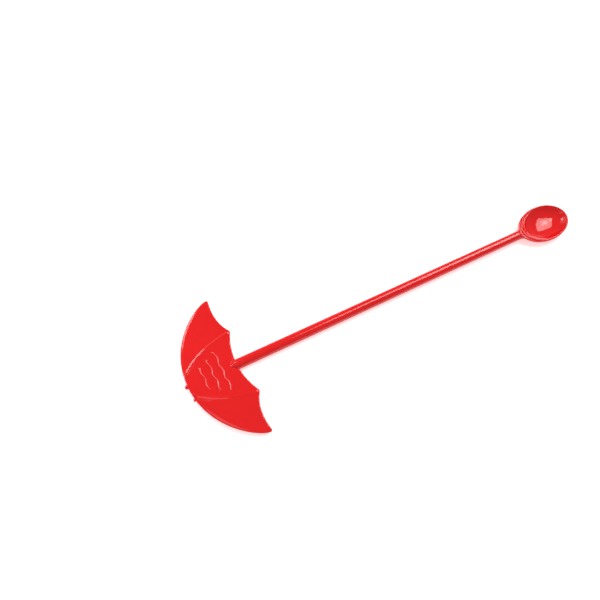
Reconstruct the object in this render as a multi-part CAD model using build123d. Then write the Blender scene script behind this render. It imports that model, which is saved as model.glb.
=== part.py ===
from build123d import *
import math
import os

# Drink stirrer with an umbrella-shaped head and a small spoon.
#
# Working frame while the shape is drawn: u runs along the stick from the
# ferrule tip of the umbrella (u = 0) to the tip of the spoon, v runs across
# the umbrella and w is up, with the stick's axis on v = w = 0.  At the end the
# whole stirrer is laid on a table: it is tipped by under a degree so that
# the stick's root and the bottom of the spoon both touch z = 0.
#
# The stirrer is moulded in one shot.  Its features are drawn as separate
# solids that meet face to face, so each can be picked, measured or reused.

# ---------------------------------------------------------------- dimensions
total_length = 220.4            # ferrule tip to spoon tip

# umbrella plate, outline in (u, v)
rim_apex_u = 1.3                # rim of the dome on the centre line
rim_ctrl_1 = (1.3, 25.0)        # the half dome is one cubic curve
rim_ctrl_2 = (24.6, 37.4)
canopy_corner = (27.6, 35.6)    # outer end of the canopy
rib_foot = (30.6, 16.15)        # point between two scallops, where a rib ends
outer_scallop_ctrl = (25.0, 23.65)
mid_scallop_u = 26.35           # deepest point of the middle scallop
corner_round = 1.0              # corners seen from above
foot_round = 1.3

middle_half_thick = 1.35        # flat middle panel
side_fall = 0.038               # side panels thin out by this slope, each face
side_hinge_offset = 0.9         # where the slope starts, from the rib's chord
edge_round = 0.50               # rounding of the plate's outer edges

# ribs: raised bars on the creases between the panels, proud on both faces
rib_start = (-0.35, 1.95)       # the crease is one quadratic curve
rib_ctrl = (9.8, 13.75)
rib_t0, rib_t1 = 0.135, 0.955   # the rib covers this stretch of the crease
rib_width = 1.3
rib_half_height = 1.63
rib_round = 0.42

# nubs on the rim
ferrule_ball_r = 1.1
ferrule_neck_r = 0.85
gate_v = 7.1                    # moulding gate witness, beyond the right rib
gate_r = 0.70
gate_proud = 0.75

# stick
stick_r_head = 2.62             # radius where it meets the umbrella
stick_r_spoon = 2.40            # radius where it meets the spoon
nose_start_u = 26.4             # full section from here on
nose_reach = 3.4                # rounded end lapping on to the plate
neck_start_u = 185.5            # the stick ends and the neck begins

# spoon
spoon_half_l = 14.7
spoon_half_w = 10.1
rim_top_w = 1.5                 # top of the spoon's rim above the stick's axis
rim_height = 1.25
rim_round = 0.45
hollow_half_l = 12.4            # the hollow is set towards the tip
hollow_half_w = 9.0
hollow_shift = 1.0
bowl_outer_depth = 3.75         # below the rim's underside
bowl_inner_depth = 2.65
neck_flare_r = 2.45             # neck radius where it meets the spoon
neck_reach = 4.5                # rounded end of the neck on the bowl's back

# ------------------------------------------------------------------- helpers
spoon_u = total_length - spoon_half_l
rim_low_w = rim_top_w - rim_height


def quad(p0, p1, p2, t):
    a, b, c = (1 - t) ** 2, 2 * t * (1 - t), t * t
    return (a * p0[0] + b * p1[0] + c * p2[0], a * p0[1] + b * p1[1] + c * p2[1])


def quad_dir(p0, p1, p2, t):
    du = 2 * (1 - t) * (p1[0] - p0[0]) + 2 * t * (p2[0] - p1[0])
    dv = 2 * (1 - t) * (p1[1] - p0[1]) + 2 * t * (p2[1] - p1[1])
    n = math.hypot(du, dv)
    return (du / n, dv / n)


def flip(p):
    return (p[0], -p[1])


def slab(face, half):
    """Closed prism of a face, from -half to +half in w."""
    return extrude(Pos(0, 0, -half) * face, amount=2 * half)


def ellipsoid(half_u, half_v, half_w):
    return scale(Sphere(1), by=(half_u, half_v, half_w))


def main_solid(shape):
    """The largest solid of a cut; slivers inside the neighbour are dropped."""
    pool = []
    for item in shape if isinstance(shape, (list, tuple)) else [shape]:
        pool.extend(item.solids())
    pool.sort(key=lambda s: s.volume, reverse=True)
    if len(pool) > 1:
        print("dropped:", [round(s.volume, 4) for s in pool[1:]])
    return pool[0]


# ------------------------------------------------------------ umbrella plate
apex = (rim_apex_u, 0.0)
half_rim_l = Bezier(apex, rim_ctrl_1, rim_ctrl_2, canopy_corner)
half_rim_r = Bezier(apex, flip(rim_ctrl_1), flip(rim_ctrl_2), flip(canopy_corner))
scallop_l = Bezier(rib_foot, outer_scallop_ctrl, canopy_corner)
scallop_r = Bezier(flip(rib_foot), flip(outer_scallop_ctrl), flip(canopy_corner))
scallop_m = ThreePointArc(rib_foot, (mid_scallop_u, 0.0), flip(rib_foot))
outline = make_face([half_rim_l, scallop_l, scallop_m, scallop_r, half_rim_r])


def near(sketch, point):
    return min(sketch.vertices(), key=lambda q: math.hypot(q.X - point[0], q.Y - point[1]))


for p in (canopy_corner, flip(canopy_corner)):
    outline = fillet(near(outline, p), corner_round)
for p in (rib_foot, flip(rib_foot)):
    outline = fillet(near(outline, p), foot_round)

# everything on the outer side of the left crease
end_dir = quad_dir(rib_start, rib_ctrl, rib_foot, 1.0)
beyond = (rib_foot[0] + 8 * end_dir[0], rib_foot[1] + 8 * end_dir[1])
crease = Bezier(rib_start, rib_ctrl, rib_foot)
left_side = make_face([
    crease,
    Line(rib_foot, beyond),
    Line(beyond, (beyond[0], 60)),
    Line((beyond[0], 60), (-20, 60)),
    Line((-20, 60), (-20, rib_start[1])),
    Line((-20, rib_start[1]), rib_start),
])
right_side = mirror(left_side, about=Plane.XZ)

plate = slab(outline, 4.0)
left_block = slab(left_side, 6.0)
right_block = slab(right_side, 6.0)

# side panels: their faces fall away from the crease towards the rim
ca, cb = quad(rib_start, rib_ctrl, rib_foot, rib_t0), quad(rib_start, rib_ctrl, rib_foot, rib_t1)
chord = math.atan2(cb[1] - ca[1], cb[0] - ca[0])
# the wedge tapers to an edge well outside the outline
tip = side_hinge_offset + middle_half_thick / side_fall
root_h = middle_half_thick + side_fall * (20 + side_hinge_offset)
wedge_profile = Polyline((-20, -root_h), (tip, 0.0), (-20, root_h), close=True)
cross = Plane(
    origin=(ca[0], ca[1], 0),
    x_dir=(-math.sin(chord), math.cos(chord), 0),
    z_dir=(math.cos(chord), math.sin(chord), 0),
)
wedge_face = cross * make_face(wedge_profile)
wedge = extrude(wedge_face, amount=80, both=True)

left_gore = (plate & left_block) & wedge
right_gore = mirror(left_gore, about=Plane.XZ)
middle_gore = slab(outline, middle_half_thick) - left_block - right_block


def round_outer_edges(gore, radius):
    """Round the edges between a panel's faces and its outer wall, not the
    creases where it meets its neighbours."""
    keep = []
    for e in gore.edges():
        mid = e @ 0.5
        if abs(mid.Z) < 0.3:
            continue
        du, dv = (e % 0.5).X, (e % 0.5).Y
        if math.hypot(du, dv) < 0.5:
            continue                       # upright edges
        best = min(
            math.hypot(mid.X - q[0], abs(mid.Y) - q[1])
            for q in (quad(rib_start, rib_ctrl, rib_foot, k / 400) for k in range(401))
        )
        if best > 0.12:
            keep.append(e)
    return fillet(keep, radius)


left_gore = round_outer_edges(left_gore, edge_round)
right_gore = mirror(left_gore, about=Plane.XZ)
middle_gore = round_outer_edges(middle_gore, edge_round)

# --------------------------------------------------------------------- ribs
steps = 14
side_a, side_b = [], []
for k in range(steps + 1):
    t = rib_t0 + (rib_t1 - rib_t0) * k / steps
    p = quad(rib_start, rib_ctrl, rib_foot, t)
    d = quad_dir(rib_start, rib_ctrl, rib_foot, t)
    side_a.append((p[0] - d[1] * rib_width / 2, p[1] + d[0] * rib_width / 2))
    side_b.append((p[0] + d[1] * rib_width / 2, p[1] - d[0] * rib_width / 2))
d0 = quad_dir(rib_start, rib_ctrl, rib_foot, rib_t0)
d1 = quad_dir(rib_start, rib_ctrl, rib_foot, rib_t1)
near_end = (ca[0] - d0[0] * rib_width / 2, ca[1] - d0[1] * rib_width / 2)
far_end = (cb[0] + d1[0] * rib_width / 2, cb[1] + d1[1] * rib_width / 2)
rib_face = make_face([
    Spline(*side_a),
    ThreePointArc(side_a[-1], far_end, side_b[-1]),
    Spline(*side_b),
    ThreePointArc(side_b[0], near_end, side_a[0]),
])
left_rib = slab(rib_face, rib_half_height)
crown = [e for e in left_rib.edges() if abs(abs((e @ 0.5).Z) - rib_half_height) < 1e-6]
left_rib = fillet(crown, rib_round)
right_rib = mirror(left_rib, about=Plane.XZ)

left_gore = left_gore - left_rib
right_gore = right_gore - right_rib
middle_gore = middle_gore - left_rib - right_rib

# ---------------------------------------------------------------- rim nubs
ferrule_tip = Pos(ferrule_ball_r, 0, 0) * Sphere(ferrule_ball_r)
ferrule_tip += Pos(ferrule_ball_r, 0, 0) * (
    Rot(0, 90, 0) * Cylinder(ferrule_neck_r, 2.4, align=(Align.CENTER, Align.CENTER, Align.MIN))
)
ferrule_tip = ferrule_tip - middle_gore

# point and outward normal of the rim at the gate
lo_t, hi_t = 0.0, 0.5
for _ in range(60):
    t = (lo_t + hi_t) / 2
    if -(half_rim_r @ t).Y < gate_v:
        lo_t = t
    else:
        hi_t = t
gp, gt = half_rim_r @ t, half_rim_r % t
gn = Vector(-gt.Y, gt.X, 0)
if gn.X > 0:
    gn = -gn
gate_plane = Plane(
    origin=gp - gn * 1.4,
    x_dir=(0, 0, 1),
    z_dir=tuple(gn),
)
gate_nub = gate_plane * Cylinder(
    gate_r, 1.4 + gate_proud, align=(Align.CENTER, Align.CENTER, Align.MIN)
)
tip_edge = max(gate_nub.edges(), key=lambda e: (e.center() - gp).dot(gn))
gate_nub = fillet(tip_edge, 0.4)
gate_nub = gate_nub - right_gore - right_rib

# -------------------------------------------------------------------- stick
# a slim cone with a rounded end that straddles the plate
KAPPA = 0.5523                  # quarter ellipse as one cubic curve


def stick_radius(u):
    run = spoon_u - spoon_half_l - nose_start_u
    return stick_r_head + (stick_r_spoon - stick_r_head) * (u - nose_start_u) / run


nose_tip_u = nose_start_u - nose_reach
neck_r0 = stick_radius(neck_start_u)
shank = make_face([
    Line((nose_tip_u, 0), (neck_start_u, 0)),
    Line((neck_start_u, 0), (neck_start_u, neck_r0)),
    Line((neck_start_u, neck_r0), (nose_start_u, stick_r_head)),
    Bezier(
        (nose_start_u, stick_r_head),
        (nose_start_u - KAPPA * nose_reach, stick_r_head),
        (nose_tip_u, KAPPA * stick_r_head),
        (nose_tip_u, 0),
    ),
])
stick = revolve(shank, Axis.X)
middle_gore = middle_gore - stick      # the rounded end sits in a notch of the plate

# -------------------------------------------------------------------- spoon
spoon_at = Pos(spoon_u, 0, 0)
below_rim = spoon_at * Pos(0, 0, rim_low_w - 10) * Box(60, 40, 20)
bowl_solid = spoon_at * Pos(0, 0, rim_low_w) * ellipsoid(spoon_half_l, spoon_half_w, bowl_outer_depth)
bowl_solid = bowl_solid & below_rim
hollow = spoon_at * Pos(hollow_shift, 0, rim_low_w) * ellipsoid(
    hollow_half_l, hollow_half_w, bowl_inner_depth
)
spoon_bowl = bowl_solid - hollow

rim_plan = Ellipse(spoon_half_l, spoon_half_w) - Pos(hollow_shift, 0) * Ellipse(hollow_half_l, hollow_half_w)
spoon_rim = spoon_at * Pos(0, 0, rim_low_w) * extrude(rim_plan, amount=rim_height)
lip = [e for e in spoon_rim.edges() if abs((e @ 0.5).Z - rim_top_w) < 1e-6]
spoon_rim = fillet(lip, rim_round)
rim_block = spoon_at * Pos(0, 0, rim_low_w) * extrude(Ellipse(spoon_half_l, spoon_half_w), amount=rim_height)

# neck: the stick's end flares a little and laps on to the back of the bowl
neck_u1 = spoon_u - spoon_half_l + 1.2
neck_tip_u = neck_u1 + neck_reach
neck_face = make_face([
    Line((neck_start_u, 0), (neck_tip_u, 0)),
    Bezier(
        (neck_tip_u, 0),
        (neck_tip_u, KAPPA * neck_flare_r),
        (neck_u1 + KAPPA * neck_reach, neck_flare_r),
        (neck_u1, neck_flare_r),
    ),
    Bezier(
        (neck_u1, neck_flare_r),
        (neck_u1 - 2.2, neck_flare_r),
        (neck_start_u + 2.6, neck_r0 - 0.003),
        (neck_start_u, neck_r0),
    ),
    Line((neck_start_u, neck_r0), (neck_start_u, 0)),
])
spoon_neck = revolve(neck_face, Axis.X)
above_rim = spoon_at * Pos(0, 0, rim_top_w + 5) * Box(60, 40, 10)
over_bowl = above_rim & (
    spoon_at * extrude(Ellipse(spoon_half_l, spoon_half_w), amount=30)
)
spoon_neck = spoon_neck - bowl_solid - hollow - rim_block - over_bowl

# ------------------------------------------------- laid down on the table top
# tip angle at which the stick's root and the bottom of the bowl are level


def reach_down(angle):
    du, dw = math.sin(angle), -math.cos(angle)
    root = nose_start_u * du + math.hypot(nose_reach * du, stick_r_head * dw)
    bowl = spoon_u * du + rim_low_w * dw + math.hypot(spoon_half_l * du, bowl_outer_depth * dw)
    return bowl - root


lo_a, hi_a = -0.1, 0.1
for _ in range(80):
    mid_a = (lo_a + hi_a) / 2
    if reach_down(mid_a) > 0:
        hi_a = mid_a
    else:
        lo_a = mid_a
tip_angle = math.degrees(mid_a)

nodes = {
    "middle_gore": middle_gore,
    "left_gore": left_gore,
    "right_gore": right_gore,
    "left_rib": left_rib,
    "right_rib": right_rib,
    "ferrule_tip": ferrule_tip,
    "gate_nub": gate_nub,
    "stick": stick,
    "spoon_neck": spoon_neck,
    "spoon_bowl": spoon_bowl,
    "spoon_rim": spoon_rim,
}

tipped = {}
for name, shape in nodes.items():
    print(name, end=" ")
    tipped[name] = Rot(0, tip_angle, 0) * main_solid(shape)
whole = Compound(list(tipped.values()))
box = whole.bounding_box(optimal=True)
shift = Pos(-(box.min.X + box.max.X) / 2, -(box.min.Y + box.max.Y) / 2, -box.min.Z)

os.makedirs("parts", exist_ok=True)
for name, shape in tipped.items():
    placed = shift * shape
    placed.label = name
    export_step(placed, f"parts/{name}.step")
    print(f"{name}: {placed.volume:.1f} mm3")

print("tip angle, degrees:", round(tip_angle, 4))
print("shift:", [round(c, 4) for c in (shift.position.X, shift.position.Y, shift.position.Z)])
print("size:", [round(c, 3) for c in (box.size.X, box.size.Y, box.size.Z)])
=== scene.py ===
import math

import bmesh
import bpy
import numpy as np
from mathutils import Matrix, Vector


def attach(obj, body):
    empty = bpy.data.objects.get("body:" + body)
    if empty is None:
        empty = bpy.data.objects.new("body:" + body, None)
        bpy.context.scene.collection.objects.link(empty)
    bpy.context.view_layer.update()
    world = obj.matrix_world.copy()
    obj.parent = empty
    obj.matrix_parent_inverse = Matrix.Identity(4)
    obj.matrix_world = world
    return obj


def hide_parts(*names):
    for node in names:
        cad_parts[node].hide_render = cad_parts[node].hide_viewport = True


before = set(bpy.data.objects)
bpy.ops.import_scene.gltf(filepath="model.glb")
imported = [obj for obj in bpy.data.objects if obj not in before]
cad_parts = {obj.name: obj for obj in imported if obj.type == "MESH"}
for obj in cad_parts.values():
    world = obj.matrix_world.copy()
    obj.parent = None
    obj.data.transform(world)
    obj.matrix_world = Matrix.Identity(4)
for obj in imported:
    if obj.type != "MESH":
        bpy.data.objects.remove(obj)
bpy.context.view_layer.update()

# --------------------------------------------------------------------------
# One moulded plastic stirrer: umbrella plate, round stick, oval spoon.
# Shapes are drawn in the working frame of the part: u along the stick from
# the ferrule, v across the umbrella, w up, in millimetres.  place() lays them
# on the table, in metres.
# --------------------------------------------------------------------------
TIP = math.radians(-0.2814)
SHIFT = (-110.1981, 0.0, 2.4904)

TOTAL = 220.4
RIM_APEX_U = 1.3
RIM_C1 = (1.3, 25.0)
RIM_C2 = (24.6, 37.4)
CORNER = (27.6, 35.6)
FOOT = (30.6, 16.15)
OUTER_C = (25.0, 23.65)
MID_U = 26.35
CORNER_R = 1.0
FOOT_R = 1.3
HALF_T = 1.35
SIDE_FALL = 0.026
HINGE = 0.9
BEND = 0.10
EDGE_R = 0.42
CREASE = ((-0.35, 1.95), (9.8, 13.75), FOOT)
RIB_T0, RIB_T1 = 0.135, 0.955
RIB_HALF = 0.95
RIB_RISE = (0.14, 0.12)
BALL_R = 1.1
GATE_V = 7.1
GATE_R = 0.70
GATE_PROUD = 0.75
R_HEAD, R_SPOON = 2.62, 2.40
NOSE_U, NOSE_L = 26.4, 3.4
SPOON_L, SPOON_W = 14.7, 10.1
SPOON_U = TOTAL - SPOON_L
RIM_TOP, RIM_H = 1.5, 1.25
RIM_LOW = RIM_TOP - RIM_H
HOLLOW_L, HOLLOW_W, HOLLOW_S = 12.4, 9.0, 1.0
BOWL_OUT, BOWL_IN = 3.75, 2.65
LIP_W = 1.32
DISH = 2.6
NECK_U = SPOON_U - SPOON_L + 1.2
NECK_R, NECK_L = 2.45, 4.5

CUT_HEAD, CUT_SPOON = 36.0, 184.0


def place(p):
    p = np.asarray(p, float)
    c, s = math.cos(TIP), math.sin(TIP)
    x = p[:, 0] * c + p[:, 2] * s + SHIFT[0]
    y = p[:, 1] + SHIFT[1]
    z = -p[:, 0] * s + p[:, 2] * c + SHIFT[2]
    return np.stack([x, y, z], 1) / 1000.0


def turn(n):
    n = np.asarray(n, float)
    c, s = math.cos(TIP), math.sin(TIP)
    return np.stack([n[:, 0] * c + n[:, 2] * s, n[:, 1], -n[:, 0] * s + n[:, 2] * c], 1)


# ------------------------------------------------------------------- outline
def bez(points, n):
    t = np.linspace(0, 1, n)[:, None]
    p = [np.array(q, float) for q in points]
    while len(p) > 1:
        p = [a * (1 - t) + b * t for a, b in zip(p[:-1], p[1:])]
    return p[0]


def even(poly, step):
    """The same line with evenly spaced points."""
    s = np.concatenate([[0], np.cumsum(np.linalg.norm(np.diff(poly, axis=0), axis=1))])
    n = max(2, int(round(s[-1] / step)) + 1)
    q = np.linspace(0, s[-1], n)
    return np.stack([np.interp(q, s, poly[:, 0]), np.interp(q, s, poly[:, 1])], 1)


def flip(p):
    return [(a, -b) for a, b in p]


def inward(poly):
    """Unit normals on the inner side of a clockwise line."""
    d = np.gradient(poly, axis=0)
    d /= np.linalg.norm(d, axis=1)[:, None]
    return np.stack([d[:, 1], -d[:, 0]], 1)


def rounded(a, b, r):
    """Joins two lines with an arc of radius r in their corner."""
    ao, bo = a + r * inward(a), b + r * inward(b)
    na, nb = min(len(a), 400), min(len(b), 400)
    gap = np.linalg.norm(ao[-na:, None] - bo[None, :nb], axis=2)
    i, j = np.unravel_index(gap.argmin(), gap.shape)
    c = (ao[len(a) - na + i] + bo[j]) / 2
    a, b = a[: len(a) - na + i + 1], b[j:]
    t0 = math.atan2(a[-1][1] - c[1], a[-1][0] - c[0])
    t1 = math.atan2(b[0][1] - c[1], b[0][0] - c[0])
    while t1 > t0:
        t1 -= 2 * math.pi
    t = np.linspace(t0, t1, 24)[1:-1]
    return a, np.stack([c[0] + r * np.cos(t), c[1] + r * np.sin(t)], 1), b


def plate_outline():
    rim = [(RIM_APEX_U, 0.0), RIM_C1, RIM_C2, CORNER]
    outer = [CORNER, OUTER_C, FOOT]
    dd = FOOT[0] - MID_U
    big = (FOOT[1] ** 2 + dd * dd) / (2 * dd)
    half = math.asin(FOOT[1] / big)
    t = np.linspace(half, -half, 1200)
    mid = np.stack([MID_U + big - big * np.cos(t), big * np.sin(t)], 1)
    step = 0.05
    rim_l = even(bez(rim, 1500), step)
    sc_l = even(bez(outer, 900), step)
    mid = even(mid, step)
    sc_r = even(bez(flip(outer), 900)[::-1], step)
    rim_r = even(bez(flip(rim), 1500)[::-1], step)
    rim_l, c1, sc_l = rounded(rim_l, sc_l, CORNER_R)
    sc_l, f1, mid = rounded(sc_l, mid, FOOT_R)
    mid, f2, sc_r = rounded(mid, sc_r, FOOT_R)
    sc_r, c2, rim_r = rounded(sc_r, rim_r, CORNER_R)
    return np.concatenate([rim_l, c1, sc_l, f1, mid, f2, sc_r, c2, rim_r[:-1]])


def to_line(points, line, closed):
    """Signed distance to a polyline (positive on its left hand side) and the
    place of the nearest point along it."""
    a = line
    b = np.roll(line, -1, axis=0) if closed else line[1:]
    a = a[: len(b)]
    d = b - a
    dl = (d * d).sum(1)
    dist = np.empty(len(points))
    at = np.empty(len(points))
    for k in range(0, len(points), 4000):
        p = points[k : k + 4000]
        # coarse pick on every 8th point, then the segments round it
        co = ((p[:, None] - a[None, ::8]) ** 2).sum(2).argmin(1) * 8
        idx = co[:, None] + np.arange(-9, 10)[None]
        idx = idx % len(a) if closed else np.clip(idx, 0, len(a) - 1)
        aa, dd = a[idx], d[idx]
        t = np.clip(((p[:, None] - aa) * dd).sum(2) / dl[idx], 0, 1)
        q = p[:, None] - aa - t[..., None] * dd
        r2 = (q * q).sum(2)
        j = r2.argmin(1)
        row = np.arange(len(p))
        q, dd = q[row, j], dd[row, j]
        side = np.sign(dd[:, 0] * q[:, 1] - dd[:, 1] * q[:, 0])
        side[side == 0] = 1
        dist[k : k + 4000] = side * np.sqrt(r2[row, j])
        at[k : k + 4000] = idx[row, j] + t[row, j]
    return dist, at


class Field:
    """A smooth function of (u, v) held on a grid."""

    def __init__(self, values, u0, v0, g):
        self.f, self.u0, self.v0, self.g = values, u0, v0, g

    def __call__(self, u, v):
        x, y = (u - self.u0) / self.g, (v - self.v0) / self.g
        nx, ny = self.f.shape
        i = np.clip(np.floor(x).astype(int), 1, nx - 3)
        j = np.clip(np.floor(y).astype(int), 1, ny - 3)
        fx, fy = x - i, y - j

        def weights(t):
            return (
                -0.5 * t + t * t - 0.5 * t**3,
                1 - 2.5 * t * t + 1.5 * t**3,
                0.5 * t + 2 * t * t - 1.5 * t**3,
                -0.5 * t * t + 0.5 * t**3,
            )

        wx, wy = weights(fx), weights(fy)
        out = 0.0
        for a in range(4):
            row = 0.0
            for b in range(4):
                row = row + wy[b] * self.f[i + a - 1, j + b - 1]
            out = out + wx[a] * row
        return out


OUTLINE = plate_outline()
G = 0.1
gu = np.arange(-4.0, 40.0, G)
gv = np.arange(-2.0, 40.0, G)
GU, GV = np.meshgrid(gu, gv, indexing="ij")
flat = np.stack([GU.ravel(), GV.ravel()], 1)
dist, _ = to_line(flat, OUTLINE, True)
edge_field = Field(dist.reshape(GU.shape), gu[0], gv[0], G)      # + outside


def crease_line(t0, t1, n):
    t = np.linspace(t0, t1, n)[:, None]
    a, b, c = (np.array(q) for q in CREASE)
    return (1 - t) ** 2 * a + 2 * t * (1 - t) * b + t * t * c


dist, _ = to_line(flat, crease_line(RIB_T0, RIB_T1, 240), False)
rib_field = Field(np.abs(dist).reshape(GU.shape), gu[0], gv[0], G)
dist, _ = to_line(flat, crease_line(-0.25, 1.6, 360), False)
side_field = Field(dist.reshape(GU.shape), gu[0], gv[0], G)      # + side panel


dist, _ = to_line(flat, even(bez([(RIM_APEX_U, 0.0), RIM_C1, RIM_C2, CORNER], 1500), 0.1), False)
rim_field = Field(np.abs(dist).reshape(GU.shape), gu[0], gv[0], G)

# ------------------------------------------------------------ shape functions
def smin(a, b, k):
    h = np.maximum(k - np.abs(a - b), 0) / k
    return np.minimum(a, b) - h * h * k * 0.25


def smax(a, b, k):
    return -smin(-a, -b, k)


def soft(x, k):
    """max(x, 0) with a rounded bend."""
    return 0.5 * (x + np.sqrt(x * x + k * k))


def stick_r(u):
    run = SPOON_U - SPOON_L - NOSE_U
    return R_HEAD + (R_SPOON - R_HEAD) * (u - NOSE_U) / run


def oval(x, y, z, a, b, c):
    k0 = np.sqrt((x / a) ** 2 + (y / b) ** 2 + (z / c) ** 2)
    k1 = np.sqrt((x / a**2) ** 2 + (y / b**2) ** 2 + (z / c**2) ** 2)
    return k0 * (k0 - 1) / np.maximum(k1, 1e-9)


# low wave lines across the middle panel: (u, half length, shift along v)
WAVES = [(9.6, 5.2, 0.0), (14.2, 7.6, 0.5), (18.8, 9.8, 0.0)]
WAVE_AMP, WAVE_LEN = 0.42, 6.6
WAVE_HALF, WAVE_H = 0.50, 0.085


def relief(u, v):
    out = np.zeros(np.broadcast(u, v).shape)
    for u0, half, shift in WAVES:
        turn = 2 * math.pi * (v / WAVE_LEN + shift)
        lean = WAVE_AMP * 2 * math.pi / WAVE_LEN * np.sin(turn)
        off = (u - u0 - WAVE_AMP * np.cos(turn)) / np.sqrt(1 + lean * lean)
        near = np.hypot(off, np.maximum(np.abs(v) - half, 0))
        # round foot and round crest
        x = np.clip(1 - near / WAVE_HALF, 0, 1)
        out = np.maximum(out, x * x * (3 - 2 * x) * WAVE_H)
    return out


RELIEF_U = np.arange(3.0, 29.0, 0.05)
RELIEF_V = np.arange(-1.0, 15.0, 0.05)
RU, RV = np.meshgrid(RELIEF_U, RELIEF_V, indexing="ij")
relief_field = Field(relief(RU, RV), RELIEF_U[0], RELIEF_V[0], 0.05)


def half_thickness(u, av):
    s = side_field(u, av)
    h = HALF_T - SIDE_FALL * soft(s - HINGE, 0.6)
    # soft bend of the side panel along its rib
    h = h - BEND * 0.5 * (1 + np.tanh((s - 1.6) / 0.7))
    # rib along the crease
    rise = RIB_RISE[0] + (RIB_RISE[1] - RIB_RISE[0]) * np.clip((u - 3.0) / 25.0, 0, 1)
    h = h + rise * 0.5 * (1 + np.cos(np.pi * np.clip(rib_field(u, av) / RIB_HALF, 0, 1)))
    # the dome's rim rolls off towards its edge
    h = h - 0.20 * h * np.clip(1 - rim_field(u, av) / 1.8, 0, 1) ** 2
    inside = (u > 3.3) & (u < 28.5) & (av < 14.6)
    h = h + np.where(inside, relief_field(np.clip(u, 3.3, 28.5), np.clip(av, 0, 14.6)), 0)
    return h


# gate witness: a stub on the right rim
rim_r = bez(flip([(RIM_APEX_U, 0.0), RIM_C1, RIM_C2, CORNER]), 4000)
gi = int(np.abs(rim_r[:, 1] + GATE_V).argmin())
GATE_P = rim_r[gi]
gt = rim_r[gi + 1] - rim_r[gi - 1]
gt /= np.linalg.norm(gt)
GATE_N = np.array([-gt[1], gt[0]])
if GATE_N[0] > 0:
    GATE_N = -GATE_N


def head_shape(u, v, w):
    av, aw = np.abs(v), np.abs(w)
    e = edge_field(u, av)
    h = half_thickness(u, av)
    er = np.minimum(EDGE_R, 0.85 * h)
    qx, qy = e + er, aw - h + er
    plate = np.hypot(np.maximum(qx, 0), np.maximum(qy, 0)) + np.minimum(np.maximum(qx, qy), 0) - er
    f = plate
    # ferrule ball on a short neck
    x = u - BALL_R
    ball = np.sqrt(np.where(x > 0, 0, x) ** 2 + v * v + w * w) - np.where(x > 0, BALL_R - 0.16 * np.minimum(x, 1.5), BALL_R)
    ball = np.maximum(ball, x - 3.0)
    f = smin(f, ball, 0.45)
    # gate stub
    a = (u - GATE_P[0]) * GATE_N[0] + (v - GATE_P[1]) * GATE_N[1]
    b = -(u - GATE_P[0]) * GATE_N[1] + (v - GATE_P[1]) * GATE_N[0]
    rad = np.hypot(b, w)
    qx, qy = rad - GATE_R + 0.3, np.abs(a + 0.5) - 0.5 - GATE_PROUD + 0.3
    stub = np.hypot(np.maximum(qx, 0), np.maximum(qy, 0)) + np.minimum(np.maximum(qx, qy), 0) - 0.3
    f = smin(f, stub, 0.3)
    # root of the stick
    r = stick_r(u)
    rho = np.hypot(v, w)
    nose = oval(u - NOSE_U, v, w, NOSE_L, R_HEAD, R_HEAD)
    root = np.where(u > NOSE_U, rho - r, nose)
    return smin(f, root, 0.35)


def rim_top(x, v):
    """Height of the spoon's rim: a rounded bead all round, and inside it, at
    the handle end, a groove and a land that rises to the hollow's lip."""
    inset = np.maximum(-oval(x, v, 0.0 * x, SPOON_L, SPOON_W, 1.0), 0)
    m = np.clip((-6.0 - x) / 6.0, 0, 1)
    m = m * m * (3 - 2 * m)                       # 1 at the handle end
    crest = 0.6 + 0.8 * m
    bead = RIM_TOP - np.minimum((0.9 - 0.35 * m) * (inset - crest) ** 2, 0.45)
    land = RIM_TOP - 0.34 + 0.30 * (inset - crest - 0.95) - 0.9 * (1 - m)
    return smax(bead, np.where(inset > crest, land, -9.0), 0.10)


def hollow_floor(x, v):
    """Height of the dished hollow: flat in the middle, steeper to the lip."""
    q = (x / HOLLOW_L) ** 2 + (v / HOLLOW_W) ** 2
    low = RIM_LOW - BOWL_IN
    return low + DISH * q + (LIP_W - low - DISH) * q**3


def hollow_slope(x, v):
    q = (x / HOLLOW_L) ** 2 + (v / HOLLOW_W) ** 2
    low = RIM_LOW - BOWL_IN
    k = 2 * DISH + 6 * (LIP_W - low - DISH) * q * q
    g = k * np.hypot(x / HOLLOW_L**2, v / HOLLOW_W**2)
    return np.sqrt(1 + g * g)


def spoon_shape(u, v, w):
    x = u - SPOON_U
    zl = np.minimum(w - RIM_LOW, 0)
    outer = oval(x, v, zl, SPOON_L, SPOON_W, BOWL_OUT)
    # stick and neck
    r = stick_r(np.minimum(u, NECK_U)) + 0.05 * np.clip((u - 185.5) / (NECK_U - 185.5), 0, 1)
    rho = np.hypot(v, w)
    neck = np.where(u > NECK_U, oval(u - NECK_U, v, w, NECK_L, NECK_R, NECK_R), rho - r)
    body = smin(outer, neck, 1.6)
    # the rim's top, only over the spoon's own plan
    plan = oval(x, v, 0.0 * w, SPOON_L, SPOON_W, 1.0)
    lid = w - rim_top(x, v) - 0.9 * np.maximum(plan, 0)
    body = smax(body, 0.85 * lid, 0.35)
    # hollow, deeper side to the tip
    hol = (w - hollow_floor(x - HOLLOW_S, v)) / hollow_slope(x - HOLLOW_S, v)
    return smax(body, hol, 0.20)


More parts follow.
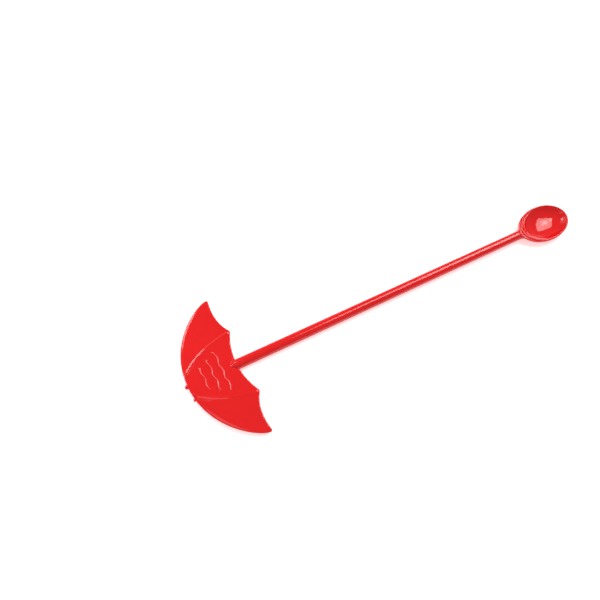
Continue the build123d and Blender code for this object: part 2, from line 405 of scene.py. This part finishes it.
# ------------------------------------------------------------------- meshing
def surface_nets(shape, lo, hi, h):
    """Quads on the zero surface of a shape function."""
    ax = [np.arange(a, b + h, h) for a, b in zip(lo, hi)]
    u, v, w = ax[0][:, None, None], ax[1][None, :, None], ax[2][None, None, :]
    nu, nv, nw = (len(a) for a in ax)
    vals = np.empty((nu, nv, nw))
    for k in range(0, nu, 24):
        uu, vv, ww = np.broadcast_arrays(u[k : k + 24], v, w)
        vals[k : k + 24] = shape(uu, vv, ww)
    inside = vals < 0
    s = slice(None, -1), slice(1, None)
    count = np.zeros((nu - 1, nv - 1, nw - 1), np.int8)
    for a in (0, 1):
        for b in (0, 1):
            for c in (0, 1):
                count += inside[s[a], s[b], s[c]]
    active = (count > 0) & (count < 8)
    cells = np.argwhere(active)
    index = np.full(active.shape, -1, np.int64)
    index[active] = np.arange(len(cells))
    acc = np.zeros((len(cells), 3))
    num = np.zeros(len(cells))
    ci, cj, ck = cells.T
    for axis in range(3):
        others = [k for k in range(3) if k != axis]
        for p in (0, 1):
            for q in (0, 1):
                o = [0, 0, 0]
                o[others[0]], o[others[1]] = p, q
                e = list(o)
                e[axis] = 1
                va = vals[ci + o[0], cj + o[1], ck + o[2]]
                vb = vals[ci + e[0], cj + e[1], ck + e[2]]
                hit = (va < 0) != (vb < 0)
                t = np.where(hit, va / np.where(hit, va - vb, 1), 0)
                for k in range(3):
                    acc[:, k] += hit * (o[k] + (t if k == axis else 0))
                num += hit
    pos = np.array([a[0] for a in ax]) + h * (cells + acc / num[:, None])
    quads = []
    for axis in range(3):
        b, c = [k for k in range(3) if k != axis]
        s0 = [slice(None)] * 3
        s1 = [slice(None)] * 3
        s0[axis], s1[axis] = slice(None, -1), slice(1, None)
        for k in (b, c):
            s0[k] = s1[k] = slice(1, -1)
        ia, ib = inside[tuple(s0)], inside[tuple(s1)]
        e = np.argwhere(ia != ib)
        start_in = ia[tuple(e.T)]
        e = e.copy()
        e[:, b] += 1
        e[:, c] += 1

        def at(db, dc):
            g = e.copy()
            g[:, b] -= db
            g[:, c] -= dc
            return index[g[:, 0], g[:, 1], g[:, 2]]

        ring = np.stack([at(1, 1), at(0, 1), at(0, 0), at(1, 0)], 1)
        turn_it = start_in if axis != 1 else ~start_in
        ring[~turn_it] = ring[~turn_it][:, ::-1]
        quads.append(ring)
    return pos, np.concatenate(quads)


def gradient(shape, p, eps=0.02):
    g = np.empty_like(p)
    for k in range(3):
        d = np.zeros(3)
        d[k] = eps
        g[:, k] = (shape(*(p + d).T) - shape(*(p - d).T)) / (2 * eps)
    return g


def settle(shape, p, rounds=4):
    """Moves points on to the zero surface."""
    for _ in range(rounds):
        f = shape(*p.T)
        g = gradient(shape, p)
        step = f[:, None] * g / np.maximum((g * g).sum(1), 0.05)[:, None]
        n = np.linalg.norm(step, axis=1)
        step *= np.minimum(1, 0.08 / np.maximum(n, 1e-9))[:, None]
        p = p - step
    return p


def write_mesh(name, verts, faces, normals, caps=None):
    """Mesh object with given vertex normals; the faces in caps stay flat."""
    me = bpy.data.meshes.new(name)
    me.from_pydata(place(verts).tolist(), [], [list(map(int, q)) for q in faces])
    me.validate()
    me.update()
    me.polygons.foreach_set("use_smooth", np.ones(len(me.polygons), bool))
    nor = turn(normals)
    loop_v = np.empty(len(me.loops), np.int32)
    me.loops.foreach_get("vertex_index", loop_v)
    loop_n = nor[loop_v]
    for k, n in (caps or {}).items():
        poly = me.polygons[k]
        loop_n[poly.loop_start : poly.loop_start + poly.loop_total] = turn(np.array([n]))[0]
    me.normals_split_custom_set(loop_n.tolist())
    ob = bpy.data.objects.new(name, me)
    bpy.context.scene.collection.objects.link(ob)
    return ob


def trimmed(shape, pos, quads, cut, keep_low):
    """Cuts a mesh across the stick, closes the end with one face and returns
    points, faces, normals and the closing face."""
    bm = bmesh.new()
    vs = [bm.verts.new(p) for p in pos]
    for q in quads:
        bm.faces.new([vs[i] for i in q])
    bmesh.ops.bisect_plane(
        bm, geom=bm.verts[:] + bm.edges[:] + bm.faces[:], dist=1e-5,
        plane_co=(cut, 0, 0), plane_no=(1 if keep_low else -1, 0, 0), clear_outer=True,
    )
    rim = [e for e in bm.edges if e.is_boundary]
    bmesh.ops.edgeloop_fill(bm, edges=rim)
    bm.verts.index_update()
    bm.faces.index_update()
    p = np.array([v.co[:] for v in bm.verts])
    on = np.abs(p[:, 0] - cut) < 1e-4
    rho = np.hypot(p[on, 1], p[on, 2])
    r = stick_r(cut)
    p[on, 1] *= r / rho
    p[on, 2] *= r / rho
    faces = [[v.index for v in f.verts] for f in bm.faces]
    cap = max(range(len(faces)), key=lambda k: len(faces[k]))
    want = 1.0 if keep_low else -1.0
    bm.normal_update()
    bm.faces.ensure_lookup_table()
    if bm.faces[cap].normal.x * want < 0:
        faces[cap] = faces[cap][::-1]
    bm.free()
    n = gradient(shape, p)
    n /= np.linalg.norm(n, axis=1)[:, None]
    return p, faces, n, {cap: (want, 0.0, 0.0)}


STEP = 0.2

pos, quads = surface_nets(head_shape, (-0.6, -36.6, -3.4), (CUT_HEAD + 1.2, 36.6, 3.4), STEP)
pos = settle(head_shape, pos)
p, fc, n, caps = trimmed(head_shape, pos, quads, CUT_HEAD, True)
head = write_mesh("umbrella_head", p, fc, n, caps)

pos, quads = surface_nets(spoon_shape, (CUT_SPOON - 1.2, -10.4, -6.0), (TOTAL + 0.8, 10.4, 3.4), STEP * 0.78)
pos = settle(spoon_shape, pos)
p, fc, n, caps = trimmed(spoon_shape, pos, quads, CUT_SPOON, False)
spoon = write_mesh("spoon_end", p, fc, n, caps)

# stick: turned, with a faint seam of the mould halves along both sides
fine = [0.0, 1.0, 2.0, 3.1, 4.6, 6.5]
angles = sorted(
    set(fine) | {360 - a for a in fine[1:]} | {180 + a for a in fine} | {180 - a for a in fine}
    | set(np.arange(10, 171, 4.0)) | set(np.arange(190, 351, 4.0))
)
th = np.radians(np.array(angles))
us = np.concatenate([np.arange(CUT_HEAD, CUT_HEAD + 12, 1.0), np.arange(CUT_HEAD + 12, CUT_SPOON - 12, 4.0), np.arange(CUT_SPOON - 12, CUT_SPOON + 0.01, 1.0)])
fade = np.clip((us - CUT_HEAD - 1) / 9, 0, 1) * np.clip((CUT_SPOON - 1 - us) / 9, 0, 1)
off = np.minimum(np.abs(np.sin(th)), 1) * 2.5
seam = 0.045 * np.exp(-((off / 0.13) ** 2))
seam[np.cos(th) < -0.5] *= 0.8
rows, nors = [], []
for u, k in zip(us, fade):
    r = stick_r(u) + seam * k
    rows.append(np.stack([np.full_like(th, u), r * np.cos(th), r * np.sin(th)], 1))
    dr = np.gradient(np.concatenate([r[-2:], r, r[:2]]), np.concatenate([th[-2:] - 2 * np.pi, th, th[:2] + 2 * np.pi]))[2:-2]
    ny = np.cos(th) + dr / r * np.sin(th)
    nz = np.sin(th) - dr / r * np.cos(th)
    nn = np.stack([np.full_like(th, 0.0014), ny, nz], 1)
    nors.append(nn / np.linalg.norm(nn, axis=1)[:, None])
m = len(th)
p = np.concatenate(rows)
n = np.concatenate(nors)
fc = []
for i in range(len(us) - 1):
    for j in range(m):
        k = (j + 1) % m
        fc.append([i * m + j, i * m + k, (i + 1) * m + k, (i + 1) * m + j])
fc.append(list(range(m))[::-1])
fc.append([(len(us) - 1) * m + j for j in range(m)])
stick = write_mesh("stick_shaft", p, fc, n, {len(fc) - 2: (-1.0, 0, 0), len(fc) - 1: (1.0, 0, 0)})

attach(head, "root")
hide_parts("middle_gore", "left_gore", "right_gore", "left_rib", "right_rib", "ferrule_tip", "gate_nub")
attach(stick, "root")
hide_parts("stick")
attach(spoon, "root")
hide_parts("spoon_neck", "spoon_bowl", "spoon_rim")


# ----------------------------------------------------------------- materials
def plastic(name):
    ma = bpy.data.materials.new(name)
    ma.use_nodes = True
    nt = ma.node_tree
    nt.nodes.clear()
    out = nt.nodes.new("ShaderNodeOutputMaterial")
    bs = nt.nodes.new("ShaderNodeBsdfPrincipled")
    nt.links.new(bs.outputs["BSDF"], out.inputs["Surface"])
    co = nt.nodes.new("ShaderNodeTexCoord")

    def noise(scale, detail, rough=0.5):
        t = nt.nodes.new("ShaderNodeTexNoise")
        t.inputs["Scale"].default_value = scale
        t.inputs["Detail"].default_value = detail
        t.inputs["Roughness"].default_value = rough
        nt.links.new(co.outputs["Object"], t.inputs["Vector"])
        return t

    # cloudy pigment: two close reds
    cloud = noise(70.0, 3.0)
    ramp = nt.nodes.new("ShaderNodeValToRGB")
    ramp.color_ramp.elements[0].position = 0.30
    ramp.color_ramp.elements[0].color = (0.800, 0.0070, 0.0078, 1)
    ramp.color_ramp.elements[1].position = 0.72
    ramp.color_ramp.elements[1].color = (0.850, 0.0088, 0.0092, 1)
    nt.links.new(cloud.outputs["Fac"], ramp.inputs["Fac"])
    nt.links.new(ramp.outputs["Color"], bs.inputs["Base Color"])
    # gloss wanders a little
    gloss = noise(220.0, 4.0, 0.6)
    mr = nt.nodes.new("ShaderNodeMapRange")
    mr.inputs["From Min"].default_value = 0.25
    mr.inputs["From Max"].default_value = 0.75
    mr.inputs["To Min"].default_value = 0.05
    mr.inputs["To Max"].default_value = 0.10
    nt.links.new(gloss.outputs["Fac"], mr.inputs["Value"])
    nt.links.new(mr.outputs["Result"], bs.inputs["Roughness"])
    # mould skin: very shallow ripple
    skin = noise(420.0, 2.0)
    bump = nt.nodes.new("ShaderNodeBump")
    bump.inputs["Strength"].default_value = 0.035
    bump.inputs["Distance"].default_value = 0.00012
    nt.links.new(skin.outputs["Fac"], bump.inputs["Height"])
    nt.links.new(bump.outputs["Normal"], bs.inputs["Normal"])
    bs.inputs["IOR"].default_value = 1.52
    bs.inputs["Subsurface Weight"].default_value = 0.12
    bs.inputs["Subsurface Radius"].default_value = (1.0, 0.18, 0.12)
    bs.inputs["Subsurface Scale"].default_value = 0.0008
    return ma


red = plastic("moulded_red_plastic")
for o in (head, stick, spoon):
    o.data.materials.append(red)

# --------------------------------------------------------------------- stage
bm = bmesh.new()
bmesh.ops.create_grid(bm, x_segments=8, y_segments=8, size=4.0)
me = bpy.data.meshes.new("floor")
bm.to_mesh(me)
bm.free()
floor = bpy.data.objects.new("floor", me)
bpy.context.scene.collection.objects.link(floor)
fm = bpy.data.materials.new("pale_floor")
fm.use_nodes = True
fb = fm.node_tree.nodes["Principled BSDF"]
fb.inputs["Base Color"].default_value = (0.95, 0.95, 0.95, 1)
fb.inputs["Emission Color"].default_value = (1, 1, 1, 1)
fb.inputs["Emission Strength"].default_value = 0.50
fb.inputs["Roughness"].default_value = 0.75
fb.inputs["Specular IOR Level"].default_value = 0.2
floor.data.materials.append(fm)

# -------------------------------------------------------------------- lights
scene = bpy.context.scene
world = bpy.data.worlds.new("studio")
world.use_nodes = True
scene.world = world
bg = world.node_tree.nodes["Background"]
bg.inputs["Color"].default_value = (1.0, 1.0, 1.0, 1)
bg.inputs["Strength"].default_value = 0.30


def softbox(name, at, aim, size_x, size_y, radiance, x_axis=None, colour=(1, 1, 1)):
    """Rectangular light of a given brightness, facing its aim."""
    la = bpy.data.lights.new(name, "AREA")
    la.shape = "RECTANGLE"
    la.size, la.size_y = size_x, size_y
    la.energy = radiance * math.pi * size_x * size_y
    la.color = colour
    z = (Vector(at) - Vector(aim)).normalized()
    x = Vector(x_axis) if x_axis else Vector((0, 0, 1)).cross(z)
    x = (x - z * x.dot(z)).normalized()
    y = z.cross(x)
    ob = bpy.data.objects.new(name, la)
    ob.matrix_world = Matrix.Translation(at) @ Matrix((x, y, z)).transposed().to_4x4()
    scene.collection.objects.link(ob)
    ob.visible_camera = False
    return ob


# main softbox: high on the right, turned towards the middle of the table
KEY = Vector((0.679, 0.315, 1.059))
FACE = Vector((-0.708, 0.305, -0.637))
along = (-0.4995, 0.3905, 0.742)
softbox("key", KEY, KEY + FACE, 0.834, 0.918, 4.4, along)
# its hot middle
for k, (size, glow) in enumerate([(0.36, 1.9), (0.25, 2.1), (0.14, 2.3)]):
    spot = KEY + Vector((-0.048, -0.138, -0.013)) + FACE * 0.01 * (k + 1)
    softbox("key_core_%d" % k, spot, spot + FACE, size, size, glow, along)
# its upper corner, which runs along the stick
side = FACE.cross(Vector(along)).normalized()
spot = KEY + Vector(along).normalized() * 0.30 - side * 0.29 + FACE * 0.01
softbox("key_corner", spot, spot + FACE, 0.22, 0.30, 3.0, along)
softbox("back", (-0.1786, 0.474, 0.639), (0.0, 0.0, 0.0), 0.16, 0.16, 6.5)
softbox("small", (-0.32, 0.1125, 0.15), (-0.087, 0.0, 0.0), 0.09, 0.09, 10.0)
softbox("fill", (-0.285, 0.7125, 0.56), (0.0, 0.0, 0.0), 0.60, 0.60, 0.8)
softbox("side_low", (-0.146, -0.022, 0.314), (-0.10, -0.022, 0.0), 0.10, 0.08, 1.1)

# -------------------------------------------------------------------- camera
cd = bpy.data.cameras.new("camera")
cam = bpy.data.objects.new("camera", cd)
scene.collection.objects.link(cam)
cd.sensor_fit = "HORIZONTAL"
cd.sensor_width = 36.0
cd.lens = 43.0778
cd.clip_start = 0.01
cd.clip_end = 50.0
right = Vector((0.8843222, -0.4594895, 0.0827261))
up = Vector((0.3919388, 0.8269137, 0.4032342))
back = Vector((-0.2536892, -0.3241654, 0.9113499))
cam.matrix_world = Matrix.Translation((-0.1312308, -0.0977299, 0.3241735)) @ Matrix((right, up, back)).transposed().to_4x4()
scene.camera = cam

scene.view_settings.view_transform = "Standard"
scene.view_settings.look = "None"

bpy.context.view_layer.update()
